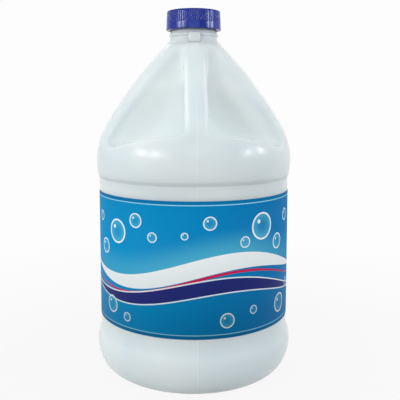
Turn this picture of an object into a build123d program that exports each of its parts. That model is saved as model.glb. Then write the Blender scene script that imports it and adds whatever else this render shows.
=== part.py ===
from build123d import *
from math import acos, asin, cos, degrees, radians, sin, tan
import os

# A large household bottle blown in one piece with a hollow handle, its screw cap, the cap's
# liner and the front label. Millimetres, +Z up, origin under the middle of the standing ring,
# with the handle and the label facing -Y.

# Bottle body, from the standing ring up
wall = 1.0
foot_width = 6.0
push_up = 7.0
heel_width = 16.7
heel_height = 23.0
bumper_proud = 2.9
bumper_blend = 18.0
panel_radius = 75.6
panel_height = 114.0
step_height = 2.6
step_round = 1.6
roll_proud = 2.15
roll_height = 10.4
shoulder_radius = 54.0
shoulder_turn = 30.0
crown_radius = 316.0

# Neck, its ring and the finish that the cap screws on
neck_step = 1.1
neck_height = 3.1
neck_flare = 6.0
ring_proud = 1.2
ring_height = 1.1
ring_slope = 3.4
ring_round = 0.4
finish_radius = 17.4
thread_depth = 1.2
finish_wall = 2.0
lip_round = 0.6
lug_width = 9.3
lug_proud = 0.3
lug_rise = 1.2
lug_round = 1.2

# Handle and the finger pockets on both sides of it
handle_width = 17.5
handle_depth = 13.0
handle_flat = 3.5
handle_foot_blend = 7.0
handle_head_blend = 3.0
pocket_rise = 9.8
pocket_drop = 4.0
finger_wall = 31.0
finger_wall_height = 33.0
finger_wall_bend = 90.0
floor_tilt = 19.5
pocket_heel = 8.0
pocket_crown = 6.0
rim_round = 5.0

# Cap and liner
cap_gap = 0.4
cap_height = 14.9
cap_top = 1.6
cap_wall = 2.0
cap_clearance = 0.35
cap_flare = 0.8
cap_band = 5.5
cap_edge = 0.8
rib_count = 72
rib_depth = 0.45
rib_gap = 1.2
liner_thickness = 1.0
liner_clearance = 0.3

# Front label
label_thickness = 0.2
label_glue = 0.1
label_low_gap = 4.6
label_high_gap = 10.0
label_half_angle = 84.0
label_corner = 4.0

# Radii and levels that follow from the sizes above
bumper_radius = panel_radius + bumper_proud
foot_radius = bumper_radius - heel_width
panel_low = heel_height + bumper_blend
panel_high = panel_low + panel_height
roll_radius = panel_radius + roll_proud
roll_level = panel_high + step_height + roll_height
shoulder_centre = Vector(roll_radius - shoulder_radius, roll_level)
neck_radius = finish_radius + neck_step
bore_radius = finish_radius - finish_wall
turn = Vector(cos(radians(shoulder_turn)), sin(radians(shoulder_turn)))
crown_centre = shoulder_centre + turn * (shoulder_radius - crown_radius)


def crown_angle(radius, inset):
    """Angle on the crown arc, drawn inset from the skin, where it comes in to a radius."""
    return degrees(acos((radius - crown_centre.X) / (crown_radius - inset)))


def crown_level(radius, inset):
    """Height at which the crown arc, drawn inset from the skin, comes in to a radius."""
    return crown_centre.Y + (crown_radius - inset) * sin(radians(crown_angle(radius, inset)))


neck_level = crown_level(neck_radius, 0)
ring_radius = neck_radius + ring_proud
ring_low = neck_level + neck_height
ring_high = ring_low + ring_height + ring_slope
cap_low = ring_high + cap_gap
cap_high = cap_low + cap_height
cap_ceiling = cap_high - cap_top
lip_level = cap_ceiling - liner_thickness
cap_bore = finish_radius + thread_depth + cap_clearance
pocket_low = roll_level + pocket_rise
pocket_high = neck_level - pocket_drop


def round_corner(face, point, radius):
    """Round the corner of a flat face that lies nearest a point."""
    return fillet(face.vertices().sort_by_distance(point)[0], radius)


def shoulder_arcs(inset, start, end_radius):
    """Shoulder arc from a start angle, then the flatter crown arc in to the end radius."""
    shoulder = CenterArc(shoulder_centre, shoulder_radius - inset, start, shoulder_turn - start)
    end = crown_angle(end_radius, inset)
    crown = CenterArc(crown_centre, crown_radius - inset, shoulder_turn, end - shoulder_turn)
    return shoulder, crown


def body_section(inset, neck_points):
    """Half section of the body, drawn inset from the skin, with the neck's own points on top."""
    push = TangentArc((0, push_up + inset), (foot_radius - foot_width, inset), tangent=(1, 0))
    foot = Line(push @ 1, (foot_radius, inset))
    heel_centre = (foot_radius, heel_height)
    heel = EllipticalCenterArc(heel_centre, heel_width - inset, heel_height - inset, 270, arc_size=90)
    bumper = Vector(bumper_radius - inset, heel_height)
    panel_foot = Vector(panel_radius - inset, panel_low)
    pull = Vector(0, bumper_blend / 2)
    blend = Bezier(bumper, bumper + pull, panel_foot - pull, panel_foot)
    panel = Line(panel_foot, (panel_radius - inset, panel_high))
    roll_start = -degrees(asin(roll_height / shoulder_radius))
    shoulder, crown = shoulder_arcs(inset, roll_start, neck_points[0][0])
    step = Line(panel @ 1, shoulder @ 0)
    neck = Polyline(crown @ 1, *neck_points, push @ 0)
    half = make_face(Wire([push, foot, heel, blend, panel, step, shoulder, crown, *neck.edges()]))
    half = round_corner(half, step @ 0, step_round)
    half = round_corner(half, step @ 1, step_round)
    return round_corner(half, crown @ 1, neck_flare)


def outer_section():
    """Half section of the outside, with the neck ring and the plain finish above it."""
    lip = (finish_radius, lip_level)
    ring_foot = (ring_radius, ring_low)
    ring_crest = (ring_radius, ring_low + ring_height)
    ring_top = (finish_radius, ring_high)
    points = [(neck_radius, ring_low), ring_foot, ring_crest, ring_top, lip, (0, lip_level)]
    half = body_section(0, points)
    half = round_corner(half, ring_foot, ring_round)
    half = round_corner(half, ring_crest, ring_round)
    return round_corner(half, lip, lip_round)


def inner_section():
    """Half section of the hollow inside, with the bore running out through the lip."""
    above = lip_level + wall
    return body_section(wall, [(bore_radius, above), (0, above)])


def floor_level(forward):
    """Height of the pockets' floor, which falls away from the front towards the finger wall."""
    return pocket_low + (forward - finger_wall) * tan(radians(floor_tilt))


def pocket_space(grow):
    """Space in front of the finger wall, which stands upright and then bends back to the neck."""
    reach = 2 * roll_radius
    drop = grow / cos(radians(floor_tilt))
    centre = Vector(finger_wall - finger_wall_bend, pocket_low + finger_wall_height)
    radius = finger_wall_bend - grow
    top = pocket_high + grow
    bend = CenterArc(centre, radius, 0, degrees(asin((top - centre.Y) / radius)))
    low_corner = Vector(finger_wall - grow, floor_level(finger_wall - grow) - drop)
    low_front = (reach, floor_level(reach) - drop)
    rest = Polyline(bend @ 1, (reach, top), low_front, low_corner, bend @ 0)
    face = make_face(Wire([bend, *rest.edges()]))
    face = round_corner(face, low_corner, pocket_heel + grow)
    face = round_corner(face, bend @ 1, pocket_crown + grow)
    return extrude(Plane.YZ * mirror(face, Plane.YZ), reach, both=True)


def handle_bar(inset):
    """Bar kept for the handle: its rounded back follows the crown at the handle's depth."""
    depth = handle_depth - inset
    reach = roll_radius + pocket_crown
    start = degrees(asin((roll_level - crown_centre.Y) / (crown_radius - depth)))
    end = crown_angle(0, depth)
    back = CenterArc(crown_centre, crown_radius - depth, start, end - start)
    top = back @ 1 + Vector(0, reach)
    rest = Polyline(back @ 1, top, top + Vector(reach, 0), (reach, roll_level), back @ 0)
    side = mirror(make_face(Wire([back, *rest.edges()])), Plane.YZ)
    bar = extrude(Plane.YZ * side, handle_width / 2 - inset, both=True)
    return fillet(bar.edges().filter_by(GeomType.CIRCLE), (handle_width - handle_flat) / 2 - inset)


def finger_pockets(grow):
    """Both pockets and the gap behind the handle, with the handle's roots blended in."""
    space = pocket_space(grow)
    bar = handle_bar(grow)
    pockets = space - bar
    foot_reach = roll_radius - handle_depth
    foot = Vector(0, -foot_reach, floor_level(foot_reach))
    head = Vector(0, -finger_wall, pocket_high)
    for point, blend in ((foot, handle_foot_blend), (head, handle_head_blend)):
        roots = pockets.edges().filter_by(lambda edge: edge.center().Y > -roll_radius)
        pockets = fillet(roots.sort_by_distance(point)[0], blend + grow)
    return pockets


def bottle_form(section, inset):
    """Turned body with the pockets taken out of it and their rims rounded."""
    body = revolve(Plane.XZ * section, Axis.Z)
    pockets = finger_pockets(inset)
    form = body - pockets
    rims = new_edges(body, pockets, combined=form)
    return fillet(rims, rim_round - inset)


def make_lug():
    """Rounded lug that ties the neck ring to the top of the handle."""
    front = ring_radius + lug_proud
    low = crown_level(front, wall)
    high = ring_low + ring_height + lug_rise
    block = Box(lug_width, front - bore_radius, high - low, align=(Align.CENTER, Align.MIN, Align.MIN))
    edges = block.edges().filter_by(Axis.Z).group_by(Axis.Y)[0]
    return Pos(0, -front, low) * fillet(edges, lug_round)


def make_bottle():
    """Blown bottle: the outside less the same form drawn a wall further in."""
    return bottle_form(outer_section(), 0) + make_lug() - bottle_form(inner_section(), wall)


def make_cap():
    """Screw cap with a plain flared band and upright finger ribs above it."""
    top_radius = cap_bore + cap_wall
    foot = (top_radius + cap_flare, cap_low)
    crest = (top_radius, cap_high)
    inside = (cap_bore, cap_ceiling)
    points = [(cap_bore, cap_low), foot, crest, (0, cap_high), (0, cap_ceiling), inside]
    half = round_corner(make_face(Polyline(*points, close=True)), crest, cap_edge)
    cap = revolve(Plane.XZ * half, Axis.Z)
    groove_radius = ((rib_gap / 2) ** 2 + rib_depth ** 2) / (2 * rib_depth)
    rib_height = cap_height - cap_band
    lean = degrees(asin(cap_flare / cap_height))
    groove_foot = top_radius + cap_flare * rib_height / cap_height + groove_radius - rib_depth
    groove = Cylinder(groove_radius, cap_height, align=(Align.CENTER, Align.CENTER, Align.MIN))
    groove = Pos(groove_foot, 0, cap_low + cap_band) * Rot(0, -lean, 0) * groove
    return cap - PolarLocations(0, rib_count) * groove


def make_liner():
    """Sealing disc between the cap's ceiling and the lip."""
    radius = cap_bore - liner_clearance
    disc = Cylinder(radius, liner_thickness, align=(Align.CENTER, Align.CENTER, Align.MIN))
    return Pos(0, 0, lip_level) * disc


def make_label():
    """Film wrapped round the front of the panel, with rounded corners."""
    start = 270 - label_half_angle
    size = 2 * label_half_angle
    inner = CenterArc((0, 0), panel_radius + label_glue, start, size)
    outer = CenterArc((0, 0), panel_radius + label_glue + label_thickness, start, size)
    film = make_face(Wire([inner, Line(inner @ 1, outer @ 1), outer, Line(outer @ 0, inner @ 0)]))
    height = panel_height - label_low_gap - label_high_gap
    label = Pos(0, 0, panel_low + label_low_gap) * extrude(film, height)
    across = label.edges().filter_by(GeomType.LINE)
    corners = across.filter_by(lambda edge: edge.length < 2 * label_thickness)
    return fillet(corners, label_corner)


os.makedirs("parts", exist_ok=True)
export_step(make_bottle(), "parts/bottle.step")
export_step(make_cap(), "parts/cap.step")
export_step(make_liner(), "parts/cap_liner.step")
export_step(make_label(), "parts/front_label.step")
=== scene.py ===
from math import acos, atan2, cos, degrees, pi, radians, sin, sqrt

import bmesh
import bpy
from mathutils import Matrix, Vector


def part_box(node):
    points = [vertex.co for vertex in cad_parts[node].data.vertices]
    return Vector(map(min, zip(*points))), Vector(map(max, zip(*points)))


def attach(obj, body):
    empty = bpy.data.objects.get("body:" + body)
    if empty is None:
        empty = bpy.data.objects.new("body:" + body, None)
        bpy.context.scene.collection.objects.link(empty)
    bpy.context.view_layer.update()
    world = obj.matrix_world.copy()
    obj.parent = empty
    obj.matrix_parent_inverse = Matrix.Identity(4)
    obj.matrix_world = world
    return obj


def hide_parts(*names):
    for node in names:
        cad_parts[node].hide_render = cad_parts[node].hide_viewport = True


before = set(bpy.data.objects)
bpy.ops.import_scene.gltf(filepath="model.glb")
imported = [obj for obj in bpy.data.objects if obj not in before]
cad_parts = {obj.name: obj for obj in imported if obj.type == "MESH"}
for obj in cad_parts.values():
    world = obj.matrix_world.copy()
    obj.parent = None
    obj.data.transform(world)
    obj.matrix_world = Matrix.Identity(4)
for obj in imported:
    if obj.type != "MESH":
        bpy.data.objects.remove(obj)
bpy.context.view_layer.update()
scene = bpy.context.scene
scene.view_settings.view_transform = "Standard"
mm = 0.001
print("frame loaded:", sorted(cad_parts))


# Shader tools: a Value is one output socket, and sums on it add Math nodes

class Value:
    def __init__(self, paint, socket):
        self.paint = paint
        self.socket = socket

    def math(self, operation, *others):
        return self.paint.node("ShaderNodeMath", {"operation": operation}, dict(enumerate((self, *others))))

    def __add__(self, other):
        return self.math("ADD", other)

    __radd__ = __add__

    def __mul__(self, other):
        return self.math("MULTIPLY", other)

    __rmul__ = __mul__

    def __sub__(self, other):
        return self.math("SUBTRACT", other)

    def __rsub__(self, other):
        return self.paint.node("ShaderNodeMath", {"operation": "SUBTRACT"}, {0: other, 1: self})

    def __truediv__(self, other):
        return self.math("DIVIDE", other)

    def __rtruediv__(self, other):
        return self.paint.node("ShaderNodeMath", {"operation": "DIVIDE"}, {0: other, 1: self})

    def __abs__(self):
        return self.math("ABSOLUTE")

    def most(self, other):
        return self.math("MAXIMUM", other)

    def least(self, other):
        return self.math("MINIMUM", other)


class Paint:
    def __init__(self, name):
        self.material = bpy.data.materials.new(name)
        self.material.use_nodes = True
        self.tree = self.material.node_tree
        self.shader = self.tree.nodes["Principled BSDF"]

    def node(self, kind, settings=None, sockets=None, output=0):
        made = self.tree.nodes.new(kind)
        for name, setting in (settings or {}).items():
            setattr(made, name, setting)
        for name, value in (sockets or {}).items():
            self.feed(made.inputs[name], value)
        return Value(self, made.outputs[output])

    def feed(self, socket, value):
        if isinstance(value, Value):
            self.tree.links.new(value.socket, socket)
        else:
            socket.default_value = value

    def finish(self, sockets):
        for name, value in sockets.items():
            self.feed(self.shader.inputs[name], value)
        return self.material

    def ramp(self, value, low, high, atLow=0.0, atHigh=1.0):  # smooth rise between two values
        sockets = {"Value": value, "From Min": low, "From Max": high, "To Min": atLow, "To Max": atHigh}
        return self.node("ShaderNodeMapRange", {"interpolation_type": "SMOOTHSTEP"}, sockets)

    def fall(self, value, low, high):  # 1 below the low value, 0 above the high one
        return self.ramp(value, low, high, 1.0, 0.0)

    def mix(self, factor, first, second):
        return self.node("ShaderNodeMix", {"data_type": "RGBA"}, {0: factor, 6: first, 7: second}, 2)

    def spot(self):
        return self.node("ShaderNodeTexCoord", output="Object")

    def stretch(self, vector, scale):
        return self.node("ShaderNodeMapping", None, {"Vector": vector, "Scale": scale})

    def noise(self, vector, scale, detail):
        return self.node("ShaderNodeTexNoise", None, {"Vector": vector, "Scale": scale, "Detail": detail})

    def bump(self, height):  # height in millimetres
        return self.node("ShaderNodeBump", None, {"Height": height, "Distance": mm, "Strength": 1.0})

    def axes(self, vector):
        split = self.tree.nodes.new("ShaderNodeSeparateXYZ")
        self.feed(split.inputs[0], vector)
        return [Value(self, output) for output in split.outputs]


def colour(red, green, blue):  # from the 0 to 255 numbers of a colour picker
    parts = [c / 255 for c in (red, green, blue)]
    return [c / 12.92 if c <= 0.04045 else ((c + 0.055) / 1.055) ** 2.4 for c in parts] + [1.0]


def reach(across, up):  # straight distance of two offsets
    return (across * across + up * up).math("SQRT")


def seenDirectly(tree):  # 1 for what the camera, mirrors and glass see, 0 for the light on the bottle
    path = tree.nodes.new("ShaderNodeLightPath")
    seen = path.outputs["Is Camera Ray"]
    for other in ("Is Glossy Ray", "Is Transmission Ray"):
        either = tree.nodes.new("ShaderNodeMath")
        either.operation = "MAXIMUM"
        tree.links.new(seen, either.inputs[0])
        tree.links.new(path.outputs[other], either.inputs[1])
        seen = either.outputs[0]
    return seen


# Mesh tools

def cut(bm, level, keepBelow):
    geom = bm.verts[:] + bm.edges[:] + bm.faces[:]
    bmesh.ops.bisect_plane(bm, geom=geom, dist=1e-7, plane_co=(0, 0, level * mm), plane_no=(0, 0, 1),
                           clear_outer=keepBelow, clear_inner=not keepBelow)


def closeMesh(bm, distance=1e-6):
    bmesh.ops.remove_doubles(bm, verts=bm.verts[:], dist=distance)
    bmesh.ops.recalc_face_normals(bm, faces=bm.faces[:])


def turnProfile(bm, points, steps):  # spin a radius and height outline about the upright axis
    verts = [bm.verts.new((r * mm, 0, z * mm)) for r, z in points]
    edges = [bm.edges.new(pair) for pair in zip(verts, verts[1:])]
    bmesh.ops.spin(bm, geom=verts + edges, cent=(0, 0, 0), axis=(0, 0, 1), angle=2 * pi,
                   steps=steps, use_merge=True)


def arc(centre, across, up, start, end, count):  # outline points on a round or oval arc, in degrees
    turns = [radians(start + (end - start) * i / count) for i in range(count + 1)]
    return [(centre[0] + across * cos(t), centre[1] + up * sin(t)) for t in turns]


def place(name, bm, paint, body, node):
    mesh = bpy.data.meshes.new(name)
    bm.to_mesh(mesh)
    bm.free()
    mesh.shade_smooth()
    mesh.materials.append(paint)
    piece = bpy.data.objects.new(name, mesh)
    scene.collection.objects.link(piece)
    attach(piece, body)
    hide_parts(node)
    print(name, "triangles:", sum(len(f.vertices) - 2 for f in mesh.polygons))


# Bottle plastic: cool white, half gloss, with a fine moulded grain and the mould's parting line

plastic = {"white": colour(224, 233, 234), "cool": colour(214, 226, 229), "cloudScale": 16.0,
           "cloudRange": (0.35, 0.65), "roughness": 0.2, "gloss": 0.18, "ior": 1.52,
           "milk": 0.6, "milkDepth": 12.0, "grainScale": 820.0, "grainHeight": 0.005, "grainRough": 0.04,
           "smearScale": (60, 60, 9), "smearRough": 0.06,
           "line": colour(238, 243, 244), "lineCore": 0.1, "lineWidth": 0.42, "lineHeight": 0.12,
           "lineShare": 0.6, "lineFade": (205, 228),
           "paintedPocketLight": colour(231, 239, 240), "paintedPocketDepth": (1.5, 11.0), "paintedPocketFoot": (160, 172),
           "edge": colour(238, 245, 245), "highlightAcross": 7.0, "highlightCore": 0.3, "highlightWidth": 2.4,
           "highlightShare": 0.6, "highlightDepth": (5, 8), "highlightFront": (-30, -24), "highlightFoot": (188, 204),
           "highlightHead": (240, 250)}
crown = {"centre": (-203.15, 37.0), "radius": 316.0}
shoulder = {"centre": (23.75, 168.0), "radius": 54.0, "top": 195.0, "blend": 1.0}


def skinDepth(paint, x, y, z):  # how far a spot lies inside the turned shoulder and crown
    skins = []
    for curve in (shoulder, crown):
        across, up = curve["centre"]
        rise = z - up
        skins.append((curve["radius"] ** 2 - rise * rise).math("SQRT") + across)
    high = paint.ramp(z, shoulder["top"] - shoulder["blend"], shoulder["top"] + shoulder["blend"])
    return skins[0] * (1 - high) + skins[1] * high - reach(x, y)


def makePlastic():
    paint = Paint("bottlePlastic")
    spot = paint.spot()
    x, y, z = [axis / mm for axis in paint.axes(spot)]
    cloud = paint.noise(spot, plastic["cloudScale"], 2.0)
    grain = paint.noise(spot, plastic["grainScale"], 2.0)
    smear = paint.noise(paint.stretch(spot, plastic["smearScale"]), 1.0, 3.0)
    tint = paint.mix(paint.ramp(cloud, *plastic["cloudRange"]), plastic["white"], plastic["cool"])
    # painted light: the pockets' wall is painted paler the deeper it lies, lifting the shade in the recess
    depth = skinDepth(paint, x, y, z)
    paintedPocketLight = paint.ramp(depth, *plastic["paintedPocketDepth"]) * paint.ramp(z, *plastic["paintedPocketFoot"])
    tint = paint.mix(paintedPocketLight, tint, plastic["paintedPocketLight"])
    # painted highlight: the handle's rounded edges are painted paler, standing in for the highlights along
    # them
    paintedEdgeHighlight = paint.fall(abs(abs(x) - plastic["highlightAcross"]), plastic["highlightCore"], plastic["highlightWidth"])
    paintedEdgeHighlight = paintedEdgeHighlight * paint.fall(depth, *plastic["highlightDepth"]) * paint.fall(y, *plastic["highlightFront"])
    paintedEdgeHighlight = paintedEdgeHighlight * paint.ramp(z, *plastic["highlightFoot"]) * paint.fall(z, *plastic["highlightHead"])
    tint = paint.mix(paintedEdgeHighlight * plastic["highlightShare"], tint, plastic["edge"])
    line = paint.fall(abs(x), plastic["lineCore"], plastic["lineWidth"]) * paint.fall(z, *plastic["lineFade"])
    tint = paint.mix(line * plastic["lineShare"], tint, plastic["line"])
    vary = (smear - 0.5) * plastic["smearRough"] + (grain - 0.5) * plastic["grainRough"]
    height = grain * plastic["grainHeight"] + line * plastic["lineHeight"]
    paint.shader.subsurface_method = "RANDOM_WALK"
    return paint.finish({"Base Color": tint, "Roughness": vary + plastic["roughness"],
                         "Normal": paint.bump(height),
                         "IOR": plastic["ior"], "Specular IOR Level": plastic["gloss"],
                         "Subsurface Weight": plastic["milk"], "Subsurface Radius": (1.0, 1.0, 1.0),
                         "Subsurface Scale": plastic["milkDepth"] * mm})


bottlePlastic = makePlastic()


# Bottle: a spun barrel and neck, with the handle and pockets taken from the CAD skin and smoothed

bottle = {"panelRadius": 75.6, "bumperRadius": 78.5, "footRadius": 61.8, "footWidth": 6.0, "pushUp": 7.0,
          "heelHeight": 23.0, "panelLow": 41.0, "panelHigh": 155.0, "stepRadius": 76.74, "stepHigh": 157.6,
          "stepEase": 0.4, "barrelTop": 156.3, "barrelLap": 0.6, "tuck": 0.15, "neckCut": 259.3,
          "skinTop": 264.0, "shoulderCut": 146.0, "voxel": 1.0, "smoothing": 8, "smoothFactor": 0.5,
          "domeSteps": 14, "heelSteps": 28, "blendSteps": 20, "spinSteps": 288}


def crownRadius(level):
    return crown["centre"][0] + sqrt(crown["radius"] ** 2 - (level - crown["centre"][1]) ** 2)


def copySkins():
    bm = bmesh.new()
    bm.from_mesh(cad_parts["bottle"].data)
    bmesh.ops.remove_doubles(bm, verts=bm.verts[:], dist=1e-6)
    cut(bm, bottle["skinTop"], keepBelow=True)
    found = set()
    todo = [min(bm.verts, key=lambda v: v.co.z)]  # the standing ring is on the outer skin
    while todo:
        vert = todo.pop()
        if vert not in found:
            found.add(vert)
            todo += [e.other_vert(vert) for e in vert.link_edges]
    inner = bm.copy()
    inner.verts.ensure_lookup_table()
    bmesh.ops.delete(inner, geom=[inner.verts[v.index] for v in found], context="VERTS")
    bmesh.ops.delete(bm, geom=[v for v in bm.verts if v not in found], context="VERTS")
    return bm, inner


def remesh(bm, voxel):
    mesh = bpy.data.meshes.new("rough")
    bm.to_mesh(mesh)
    bm.free()
    rough = bpy.data.objects.new("rough", mesh)
    scene.collection.objects.link(rough)
    step = rough.modifiers.new("voxels", "REMESH")
    step.mode = "VOXEL"
    step.voxel_size = voxel * mm
    fine = bpy.data.meshes.new_from_object(rough.evaluated_get(bpy.context.evaluated_depsgraph_get()))
    bpy.data.objects.remove(rough)
    bm = bmesh.new()
    bm.from_mesh(fine)
    bpy.data.meshes.remove(fine)
    bpy.data.meshes.remove(mesh)
    return bm


def makeShoulder(bm):
    cut(bm, bottle["shoulderCut"], keepBelow=False)
    bmesh.ops.holes_fill(bm, edges=[e for e in bm.edges if e.is_boundary], sides=0)
    bmesh.ops.recalc_face_normals(bm, faces=bm.faces[:])
    bm = remesh(bm, bottle["voxel"])
    for _ in range(bottle["smoothing"]):
        bmesh.ops.smooth_vert(bm, verts=bm.verts[:], factor=bottle["smoothFactor"],
                              use_axis_x=True, use_axis_y=True, use_axis_z=True)
    cut(bm, bottle["barrelTop"], keepBelow=False)
    cut(bm, bottle["neckCut"], keepBelow=True)
    place("bottleShoulder", bm, bottlePlastic, "bottle", "bottle")


def makeBarrel():
    panel, low, high = bottle["panelRadius"], bottle["panelLow"], bottle["panelHigh"]
    foot, heel = bottle["footRadius"], bottle["heelHeight"]
    inFoot = foot - bottle["footWidth"]
    dome = (inFoot ** 2 + bottle["pushUp"] ** 2) / (2 * bottle["pushUp"])
    radii = [inFoot * i / bottle["domeSteps"] for i in range(bottle["domeSteps"] + 1)]
    outline = [(r, bottle["pushUp"] - dome + sqrt(dome ** 2 - r ** 2)) for r in radii]
    outline += arc((foot, heel), bottle["bumperRadius"] - foot, heel, 270, 360, bottle["heelSteps"])
    proud = bottle["bumperRadius"] - panel
    for i in range(bottle["blendSteps"]):  # the bumper's easy curve back to the panel
        t = (i + 1) / bottle["blendSteps"]
        outline.append((panel + proud * (1 - t) ** 2 * (1 + 2 * t),
                        heel + (low - heel) * (1.5 * t * (1 - t) + t ** 3)))
    lean = (bottle["stepRadius"] - panel) / (bottle["stepHigh"] - high)
    ease = bottle["stepEase"]
    outline += [(panel, (low + high) / 2), (panel, high - ease), (panel + lean * ease / 5, high),
                (panel + lean * ease, high + ease)]
    top = bottle["barrelTop"]
    lap = top + bottle["barrelLap"]
    outline += [(panel + lean * (top - high), top), (panel + lean * (lap - high) - bottle["tuck"], lap)]
    bm = bmesh.new()
    turnProfile(bm, outline, bottle["spinSteps"])
    closeMesh(bm)
    place("bottleBarrel", bm, bottlePlastic, "bottle", "bottle")


neck = {"radius": 18.5, "flare": 6.0, "lap": 0.7, "ringLow": 265.33, "ringRadius": 19.7, "ringHeight": 1.1,
        "ringSlope": 3.4, "ringEase": 0.15, "ringRound": 0.4, "crestDrop": 0.3, "crestTurn": 38,
        "finishRadius": 17.4, "finishEase": 0.2, "boreRadius": 15.4, "boreEase": 0.3, "boreLow": 263.0,
        "lip": 282.53, "lipRound": 0.6, "flatLimit": 0.9, "flareSteps": 8, "ringSteps": 4, "crestSteps": 3,
        "lipSteps": 5, "spinSteps": 192}


def makeNeck():
    radius, flare, finish = neck["radius"], neck["flare"], neck["finishRadius"]
    span = crown["radius"] + flare
    turn = acos((radius + flare - crown["centre"][0]) / span)
    flareLevel = crown["centre"][1] + span * sin(turn)
    low = bottle["neckCut"]
    lap = low - neck["lap"]
    outline = [(crownRadius(lap) - bottle["tuck"], lap), (crownRadius(low), low)]
    root = (radius + flare, flareLevel)
    outline += arc(root, flare, flare, 180 + degrees(turn), 180, neck["flareSteps"])
    ring, ease = neck["ringLow"], neck["ringEase"]
    crest = ring + neck["ringHeight"]
    slopeTop = crest + neck["ringSlope"]
    outline += [(radius, ring - ease), (radius + ease, ring)]
    edge = neck["ringRound"]
    side = neck["ringRadius"] - edge
    outline += arc((side, ring + edge), edge, edge, 270, 360, neck["ringSteps"])
    outline += arc((side, crest - neck["crestDrop"]), edge, edge, 0, neck["crestTurn"], neck["crestSteps"])
    ease = neck["finishEase"]
    outline += [(finish + ease, slopeTop - 1.25 * ease), (finish, slopeTop + ease)]
    lip = neck["lipRound"]
    outline += arc((finish - lip, neck["lip"] - lip), lip, lip, 0, 90, neck["lipSteps"])
    bore, ease = neck["boreRadius"], neck["boreEase"]
    outline += [(bore + ease, neck["lip"]), (bore, neck["lip"] - ease), (bore, neck["boreLow"])]
    bm = bmesh.new()
    turnProfile(bm, outline, neck["spinSteps"])
    closeMesh(bm)
    for face in bm.faces[:]:  # an open skin has no inside, so point it away from the neck's own wall
        middle = face.calc_center_median()
        wall = Vector((middle.x, middle.y, 0)).normalized() * (finish + bore) / 2 * mm
        wall.z = middle.z
        if (middle - wall).dot(face.normal) < 0 and abs(face.normal.z) < neck["flatLimit"]:
            face.normal_flip()
    place("bottleNeck", bm, bottlePlastic, "bottle", "bottle")


lug = {"width": 9.3, "front": 20.0, "back": 15.6, "low": 259.6, "high": 267.63, "round": 1.2,
       "roundSteps": 5, "foot": 1.2}


def makeLug():
    bm = bmesh.new()
    bmesh.ops.create_cube(bm, size=1.0)
    size = Vector((lug["width"], lug["front"] - lug["back"], lug["high"] - lug["low"])) * mm
    middle = Vector((0, -(lug["front"] + lug["back"]) / 2, (lug["high"] + lug["low"]) / 2)) * mm
    bmesh.ops.scale(bm, verts=bm.verts[:], vec=size)
    bmesh.ops.translate(bm, verts=bm.verts[:], vec=middle)
    for vert in bm.verts:  # the front leans out to meet the handle
        if vert.co.y < middle.y and vert.co.z < middle.z:
            vert.co.y -= lug["foot"] * mm
    front = [e for e in bm.edges if all(v.co.y < middle.y for v in e.verts)]
    bmesh.ops.bevel(bm, geom=front, offset=lug["round"] * mm, offset_type="OFFSET", affect="EDGES",
                    segments=lug["roundSteps"], profile=0.5, material=-1, clamp_overlap=True)
    place("neckLug", bm, bottlePlastic, "bottle", "bottle")


# Threads: a ridge laid flat, tapered at both ends, then wound up the wall

thread = {"pitch": 4.23, "stepsPerTurn": 80, "stepsAcross": 5, "taperRate": 9, "flank": 0.3, "sink": 0.05,
          "tipWidth": 0.4}
neckThread = {"turns": 1.6, "low": 272.6, "radius": 17.4, "proud": 1.1, "width": 2.3, "start": 0.6,
              "inside": False}
capThread = {"turns": 1.25, "low": 273.4, "radius": 18.95, "proud": 0.75, "width": 1.6, "start": 2.2,
             "inside": True}


def makeThread(name, sizes, paint, body, node):
    turns = sizes["turns"]
    side = -1 if sizes["inside"] else 1
    bm = bmesh.new()
    bmesh.ops.create_grid(bm, x_segments=int(turns * thread["stepsPerTurn"]),
                          y_segments=thread["stepsAcross"], size=0.5)
    for vert in bm.verts:
        along, across = vert.co.x + 0.5, vert.co.y
        taper = min(1.0, along * turns * thread["taperRate"], (1 - along) * turns * thread["taperRate"])
        crest = min(1.0, max(0.0, (0.5 - abs(across)) / thread["flank"])) * taper
        rise = sizes["proud"] * crest if crest else -thread["sink"]  # its edges dip into the wall
        radius = (sizes["radius"] + side * rise) * mm
        width = sizes["width"] * (thread["tipWidth"] + (1 - thread["tipWidth"]) * taper)
        angle = along * turns * 2 * pi + sizes["start"]
        level = sizes["low"] + thread["pitch"] * turns * along + width * across
        vert.co = (radius * cos(angle), radius * sin(angle), level * mm)
    bmesh.ops.recalc_face_normals(bm, faces=bm.faces[:])
    middle = bm.faces[:][len(bm.faces) // 2]
    spot = middle.calc_center_median()
    outward = Vector((spot.x, spot.y, 0)).dot(middle.normal) > 0
    if outward == sizes["inside"]:
        bmesh.ops.reverse_faces(bm, faces=bm.faces[:])
    place(name, bm, paint, body, node)


outerSkin, innerSkin = copySkins()
makeShoulder(outerSkin)
makeBarrel()
makeNeck()
makeLug()
makeThread("neckThread", neckThread, bottlePlastic, "bottle", "bottle")
place("bottleInside", innerSkin, bottlePlastic, "bottle", "bottle")
print("bottle ready")


# Cap: glossy blue, with a plain band and fine upright ribs

capPlastic = {"blue": colour(2, 44, 154), "deep": colour(0, 36, 138), "cloudScale": 90.0, "cloudRough": 0.04,
              "cloudRange": (0.3, 0.7), "grainScale": 1400.0, "grainRough": 0.02, "grainHeight": 0.0012,
              "roughness": 0.17, "gloss": 0.24, "ior": 1.5}


def makeCapPlastic():
    paint = Paint("capPlastic")
    spot = paint.spot()
    cloud = paint.noise(spot, capPlastic["cloudScale"], 3.0)
    grain = paint.noise(spot, capPlastic["grainScale"], 2.0)
    tint = paint.mix(paint.ramp(cloud, *capPlastic["cloudRange"]), capPlastic["blue"], capPlastic["deep"])
    vary = (cloud - 0.5) * capPlastic["cloudRough"] + (grain - 0.5) * capPlastic["grainRough"]
    return paint.finish({"Base Color": tint, "Roughness": vary + capPlastic["roughness"],
                         "Normal": paint.bump(grain * capPlastic["grainHeight"]),
                         "IOR": capPlastic["ior"], "Specular IOR Level": capPlastic["gloss"]})


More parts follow.
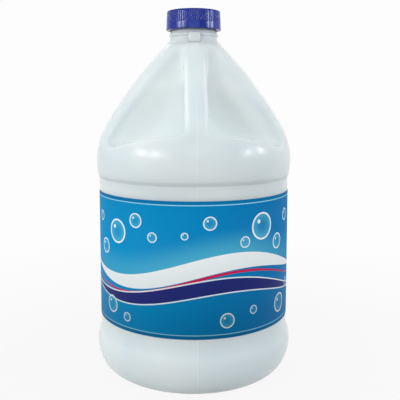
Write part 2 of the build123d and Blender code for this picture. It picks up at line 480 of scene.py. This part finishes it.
capBlue = makeCapPlastic()
cap = {"ribs": 72, "pointsPerRib": 14, "ribDepth": 0.45, "grooveShare": 0.18, "band": 5.5, "flare": 0.8,
       "edge": 0.8, "bore": 18.95, "boreRound": 0.5, "top": 1.6, "footRound": 0.3, "footBend": 0.09,
       "grooveFoot": [(0.12, 0.55), (0.3, 0.9), (0.55, 1.0)],  # height above the band and share of the depth
       "grooveRim": [1.0, 1.0, 0.85, 0.55, 0.2, 0.0],  # share of the depth round the top edge
       "lowLoops": (0.9, 1.3), "highLoops": (1.7, 1.2), "topInset": 2.2,
       "gateRadius": 1.3, "gateDepth": 0.2, "gateSlope": 0.25, "pole": 0.002, "weld": 5e-6}


def growRing(bm, ring, radius, level, share):  # extrude a ring of edges to a new radius and height
    grown = bmesh.ops.extrude_edge_only(bm, edges=ring)["geom"]
    fresh = {g for g in grown if isinstance(g, bmesh.types.BMVert)}
    for vert in fresh:
        turn = atan2(vert.co.y, vert.co.x)
        across = (turn * cap["ribs"] / (2 * pi)) % 1.0 - 0.5
        groove = share * max(0.0, 1 - (across / cap["grooveShare"]) ** 2)
        r = max(radius - cap["ribDepth"] * groove, cap["pole"]) * mm
        vert.co = (r * cos(turn), r * sin(turn), level * mm)
    return [g for g in grown if isinstance(g, bmesh.types.BMEdge) and all(v in fresh for v in g.verts)]


def makeCap():
    lowest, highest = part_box("cap")
    low, high, foot = lowest.z / mm, highest.z / mm, highest.x / mm
    ceiling, gateFloor = high - cap["top"], high - cap["gateDepth"]
    wall, band = foot - cap["flare"], low + cap["band"]
    small, bend, edge = cap["footRound"], cap["footBend"], cap["edge"]

    def wallRadius(level):
        return foot - cap["flare"] * (level - low) / (high - low)

    outside = [(foot - small, low, 0), (foot - bend, low + bend, 0), (foot, low + small, 0)]
    outside += [(wallRadius(z), z, 0) for z in (low + 2 * small, band - small, band)]
    outside += [(wallRadius(band), band + rise, share) for rise, share in cap["grooveFoot"]]
    loops = [band + rise for rise in cap["lowLoops"]] + [high - drop for drop in cap["highLoops"]]
    outside += [(wallRadius(z), z, 1.0) for z in loops]  # these keep the ribs' reflections straight
    rim = arc((wall - edge, high - edge), edge, edge, 0, 90, len(cap["grooveRim"]) - 1)
    outside += [(r, z, share) for (r, z), share in zip(rim, cap["grooveRim"])]
    outside += [(wall - cap["topInset"], high, 0), (cap["gateRadius"] + cap["gateSlope"], high, 0),
                (cap["gateRadius"], gateFloor, 0), (0, gateFloor, 0)]
    inside = [(cap["bore"], low + small, 0), (cap["bore"], ceiling - cap["boreRound"], 0),
              (cap["bore"] - cap["boreRound"], ceiling, 0), (0, ceiling, 0)]
    bm = bmesh.new()
    bmesh.ops.create_circle(bm, segments=cap["ribs"] * cap["pointsPerRib"], radius=(cap["bore"] + small) * mm,
                            cap_ends=False)
    bmesh.ops.translate(bm, verts=bm.verts[:], vec=(0, 0, low * mm))
    firstRing = bm.edges[:]
    for chain in (outside, inside):
        ring = firstRing
        for radius, level, share in chain:
            ring = growRing(bm, ring, radius, level, share)
    closeMesh(bm, cap["weld"])
    place("screwCap", bm, capBlue, "cap", "cap")


makeCap()
makeThread("capThread", capThread, capBlue, "cap", "cap")


# Liner: pale foam disc with a fine cell texture

foam = {"pale": colour(232, 233, 228), "shade": colour(219, 221, 215), "cloudScale": 200.0,
        "cloudRange": (0.3, 0.7), "cellScale": 2600.0, "cellHeight": 0.05, "roughness": 0.75,
        "cloudRough": 0.2}


def makeFoam():
    paint = Paint("linerFoam")
    spot = paint.spot()
    cells = paint.node("ShaderNodeTexVoronoi", {"feature": "F1"},
                       {"Vector": spot, "Scale": foam["cellScale"]})
    cloud = paint.noise(spot, foam["cloudScale"], 3.0)
    tint = paint.mix(paint.ramp(cloud, *foam["cloudRange"]), foam["pale"], foam["shade"])
    rough = (cloud - 0.5) * foam["cloudRough"] + foam["roughness"]
    return paint.finish({"Base Color": tint, "Roughness": rough,
                         "Normal": paint.bump(cells * foam["cellHeight"])})


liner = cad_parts["cap_liner"]
liner.data.materials.clear()
liner.data.materials.append(makeFoam())


# Label: a satin film printed with plain waves and bubbles inside a fine border, in millimetres laid flat

label = {"radius": 75.88, "thickness": 0.18, "halfAngle": 84.0, "corner": 4.0, "cornerSteps": 8,
         "cutStep": 1.5,
         "leftBlue": colour(0, 139, 196), "rightBlue": colour(0, 117, 178), "blueTurn": (-70, 80),
         "edgeBlue": colour(0, 114, 170), "borderTint": colour(150, 214, 238), "white": colour(236, 243, 244),
         "teal": colour(86, 184, 210), "navy": colour(36, 44, 116), "red": colour(204, 32, 78),
         "borderInset": 2.9, "borderWidth": 0.34, "borderCorner": 6.0, "softness": 0.14,
         "rippleScale": (45, 45, 28), "rippleHeight": 0.05, "grainScale": 700.0, "grainHeight": 0.004,
         "grainRough": 0.08, "roughness": 0.55, "gloss": 0.07, "ior": 1.48}
wave = {"length": 31.0, "shift": 0.5, "swing": 9.0, "drop": 3.0, "end": 112.0, "half": 6.5,
        "glowTop": (4, 26), "glowFoot": (-2, 2), "glowShare": 0.75, "redDrop": 7.9, "redHalf": 1.0,
        "navyLength": 36.0, "navyShift": 0.2, "navySwing": 3.0, "navyDrop": 15.5, "navyHalf": 5.0,
        "trimOut": 5.6, "trimHalf": 0.45}
bubble = {"core": 0.2, "coreShare": 0.15, "rimShare": 0.6, "line": 0.16, "lineGrowth": 0.05,
          "glintAside": 0.38, "glintSize": 0.16, "glintShare": 0.9}
bubbles = [(-66, 24, 8.5), (-47, 34, 5.0), (-84, 10, 5.5), (-33, 23, 3.4), (-92, 32, 3.6), (52, 29, 9.5),
           (71, 15, 5.6), (36, 19, 3.8), (86, 33, 4.4), (9, 34, 4.6), (-9, 25, 2.4), (-74, -33, 6.2),
           (-56, -39, 3.2), (22, -37, 5.2), (44, -32, 3.0), (76, -34, 7.0), (92, -22, 3.4)]


def within(paint, value, edge):  # 1 below the edge, 0 above it
    return paint.fall(value, edge - label["softness"], edge + label["softness"])


def printWaves(paint, tint, x, y):
    end = x / wave["end"]
    swell = 1 - end * end  # the ribbons thin out towards the ends
    above = y - ((x / wave["length"] + wave["shift"]).math("SINE") * wave["swing"] - wave["drop"])
    glow = paint.fall(above, *wave["glowTop"]) * paint.ramp(above, *wave["glowFoot"]) * wave["glowShare"]
    tint = paint.mix(glow * swell, tint, label["teal"])
    tint = paint.mix(within(paint, abs(above), swell * wave["half"]), tint, label["white"])
    tint = paint.mix(within(paint, abs(above + wave["redDrop"]), swell * wave["redHalf"]), tint, label["red"])
    slow = (x / wave["navyLength"] - wave["navyShift"]).math("SINE") * wave["navySwing"]
    fromNavy = abs(above + slow + wave["navyDrop"])
    tint = paint.mix(within(paint, fromNavy, swell * wave["navyHalf"]), tint, label["navy"])
    trim = within(paint, abs(fromNavy - swell * wave["trimOut"]), wave["trimHalf"])
    return paint.mix(trim, tint, label["white"])


def printBubble(paint, tint, across, up, size):
    gap = reach(across, up)
    film = paint.ramp(gap, size * bubble["core"], size, bubble["coreShare"], bubble["rimShare"])
    tint = paint.mix(within(paint, gap, size) * film, tint, label["teal"])
    line = within(paint, abs(gap - size), bubble["line"] + size * bubble["lineGrowth"])
    tint = paint.mix(line, tint, label["white"])
    aside = size * bubble["glintAside"]
    glint = within(paint, reach(across + aside, up - aside), size * bubble["glintSize"])
    return paint.mix(glint * bubble["glintShare"], tint, label["white"])


def printBorder(paint, tint, sideGap, endGap):
    corner = label["borderCorner"]
    rounded = corner - reach((corner - sideGap).most(0.0), (corner - endGap).most(0.0))
    inset = sideGap.least(endGap).least(rounded)  # distance in from the film's edge
    tint = paint.mix(within(paint, inset, label["borderInset"]), tint, label["edgeBlue"])
    line = within(paint, abs(inset - label["borderInset"]), label["borderWidth"])
    return paint.mix(line, tint, label["borderTint"])


def makeLabelFilm(length, height):
    paint = Paint("labelFilm")
    u, v = paint.axes(paint.node("ShaderNodeUVMap", {"uv_map": "flat"}))[:2]
    x, y = (u - 0.5) * length, (v - 0.5) * height
    tint = paint.mix(paint.ramp(x, *label["blueTurn"]), label["leftBlue"], label["rightBlue"])
    tint = printWaves(paint, tint, x, y)
    for across, up, size in bubbles:
        tint = printBubble(paint, tint, x - across, y - up, size)
    tint = printBorder(paint, tint, length / 2 - abs(x), height / 2 - abs(y))
    spot = paint.spot()
    ripple = paint.noise(paint.stretch(spot, label["rippleScale"]), 1.0, 2.0)
    grain = paint.noise(spot, label["grainScale"], 2.0)
    relief = ripple * label["rippleHeight"] + grain * label["grainHeight"]
    rough = (grain - 0.5) * label["grainRough"] + label["roughness"]
    return paint.finish({"Base Color": tint, "Roughness": rough, "Normal": paint.bump(relief),
                         "IOR": label["ior"], "Specular IOR Level": label["gloss"]})


def makeLabel():
    lowest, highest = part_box("front_label")
    low, high = lowest.z / mm, highest.z / mm
    half = radians(label["halfAngle"]) * label["radius"]
    bm = bmesh.new()
    sheet = bmesh.ops.create_grid(bm, x_segments=1, y_segments=1, size=0.5)["verts"]
    bmesh.ops.scale(bm, verts=sheet, vec=(2 * half, high - low, 1))
    bmesh.ops.bevel(bm, geom=bm.verts[:], offset=label["corner"], offset_type="OFFSET", affect="VERTICES",
                    segments=label["cornerSteps"], profile=0.5, material=-1)
    steps = int(2 * label["halfAngle"] / label["cutStep"])
    for i in range(1, steps):
        geom = bm.verts[:] + bm.edges[:] + bm.faces[:]
        bmesh.ops.bisect_plane(bm, geom=geom, dist=1e-5, plane_co=(half * (2 * i / steps - 1), 0, 0),
                               plane_no=(1, 0, 0))
    bmesh.ops.solidify(bm, geom=bm.faces[:], thickness=label["thickness"])
    flat = bm.loops.layers.uv.new("flat")
    for face in bm.faces:
        for loop in face.loops:
            loop[flat].uv = (loop.vert.co.x / (2 * half) + 0.5, loop.vert.co.y / (high - low) + 0.5)
    raised = max(v.co.z for v in bm.verts)
    for vert in bm.verts:  # wrap the flat film round the front of the panel
        turn = vert.co.x / label["radius"]
        radius = (label["radius"] + vert.co.z - raised) * mm
        vert.co = (radius * sin(turn), -radius * cos(turn), (vert.co.y + (low + high) / 2) * mm)
    bmesh.ops.recalc_face_normals(bm, faces=bm.faces[:])
    place("frontLabel", bm, makeLabelFilm(2 * half, high - low), "bottle", "front_label")


makeLabel()
print("cap, liner and label ready")


# Stage, light and camera, in metres

floorPaper = {"tint": (0.5, 0.5, 0.5, 1), "roughness": 0.9, "white": 0.982, "halfSize": 4.0,
              "near": 0.1, "far": 0.5, "nearBlend": 0.92}
studio = {"light": (1, 1, 0.99, 1), "strength": 0.35, "white": (1, 1, 1, 1), "aim": 0.16}


def makeFloor():
    paint = Paint("floorPaper")
    x, y = paint.axes(paint.spot())[:2]
    paint.finish({"Base Color": floorPaper["tint"], "Roughness": floorPaper["roughness"],
                  "Specular IOR Level": 0.0})
    seen = Value(paint, seenDirectly(paint.tree))
    # the shadow shows only near the bottle
    blend = paint.ramp(reach(x, y), floorPaper["near"], floorPaper["far"], floorPaper["nearBlend"], 1.0)
    glow = paint.node("ShaderNodeEmission", None, {"Color": studio["white"], "Strength": floorPaper["white"]})
    shaded = Value(paint, paint.shader.outputs[0])
    mixed = paint.node("ShaderNodeMixShader", None, {0: seen * blend, 1: shaded, 2: glow})
    paint.feed(paint.tree.nodes["Material Output"].inputs["Surface"], mixed)
    bm = bmesh.new()
    bmesh.ops.create_grid(bm, x_segments=1, y_segments=1, size=floorPaper["halfSize"])
    mesh = bpy.data.meshes.new("floor")
    bm.to_mesh(mesh)
    bm.free()
    mesh.materials.append(paint.material)
    floor = bpy.data.objects.new("floor", mesh)
    scene.collection.objects.link(floor)


def makeWorld():
    world = bpy.data.worlds.new("studio")
    scene.world = world
    world.use_nodes = True
    tree = world.node_tree
    light = tree.nodes["Background"]
    light.inputs["Color"].default_value = studio["light"]
    light.inputs["Strength"].default_value = studio["strength"]
    backdrop = tree.nodes.new("ShaderNodeBackground")
    backdrop.inputs["Color"].default_value = studio["white"]
    backdrop.inputs["Strength"].default_value = floorPaper["white"]
    swap = tree.nodes.new("ShaderNodeMixShader")
    tree.links.new(seenDirectly(tree), swap.inputs[0])
    tree.links.new(light.outputs[0], swap.inputs[1])
    tree.links.new(backdrop.outputs[0], swap.inputs[2])
    tree.links.new(swap.outputs[0], tree.nodes["World Output"].inputs["Surface"])


white, cool = (1, 1, 1), (0.97, 0.98, 1)
lamps = [  # name, azimuth, elevation, distance, width, height, watts, tint
    ("leftSoftbox", -54, 13.6, 2.6, 2.1, 0.4, 17.5, white),
    ("leftTubeFar", -63.5, 14.0, 2.5, 0.24, 0.3, 6.4, white),
    ("leftTubeNear", -47, 14.0, 2.5, 0.24, 0.3, 6.4, white),
    ("rightSoftbox", 72, 13.6, 2.6, 1.7, 0.4, 11.0, cool),
    ("rightTubeNear", 63, 14.0, 2.5, 0.24, 0.3, 5.8, cool),
    ("rightTubeFar", 82, 14.0, 2.5, 0.24, 0.3, 5.8, cool),
    ("leftHigh", -92, 36, 1.0, 0.45, 0.6, 0.9, white),
    ("rightHigh", 100, 32, 1.0, 0.45, 0.6, 0.7, cool),
    ("frontSoftbox", 0, 24, 1.3, 1.0, 0.2, 1.9, white),
    ("topSoftbox", 0, 70, 1.1, 0.9, 0.6, 1.5, white),
    ("backSoftbox", 180, 45, 1.2, 1.0, 0.6, 4.0, white)]


def makeLamp(name, azimuth, elevation, distance, width, height, watts, tint):
    lamp = bpy.data.lights.new(name, "AREA")
    lamp.shape = "RECTANGLE"
    lamp.size = width
    lamp.size_y = height
    lamp.energy = watts
    lamp.color = tint
    holder = bpy.data.objects.new(name, lamp)
    turn, rise = radians(azimuth), radians(elevation)
    aim = Vector((0, 0, studio["aim"]))
    holder.location = aim + distance * Vector((sin(turn) * cos(rise), -cos(turn) * cos(rise), sin(rise)))
    holder.rotation_euler = (aim - holder.location).to_track_quat("-Z", "Y").to_euler()
    scene.collection.objects.link(holder)


view = {"azimuth": -2.0, "distance": 0.5018, "height": 0.2129, "tilt": 5.95, "lens": 55.83, "sensor": 36,
        "shift": (0.016, -0.08), "near": 0.01}


def makeCamera():
    lens = bpy.data.cameras.new("camera")
    lens.lens = view["lens"]
    lens.sensor_width = view["sensor"]
    lens.shift_x, lens.shift_y = view["shift"]
    lens.clip_start = view["near"]
    camera = bpy.data.objects.new("camera", lens)
    turn = radians(view["azimuth"])
    camera.location = (sin(turn) * view["distance"], -cos(turn) * view["distance"], view["height"])
    camera.rotation_euler = (radians(90 - view["tilt"]), 0, turn)
    scene.collection.objects.link(camera)
    scene.camera = camera


makeFloor()
makeWorld()
for lamp in lamps:
    makeLamp(*lamp)
makeCamera()
print("stage ready")
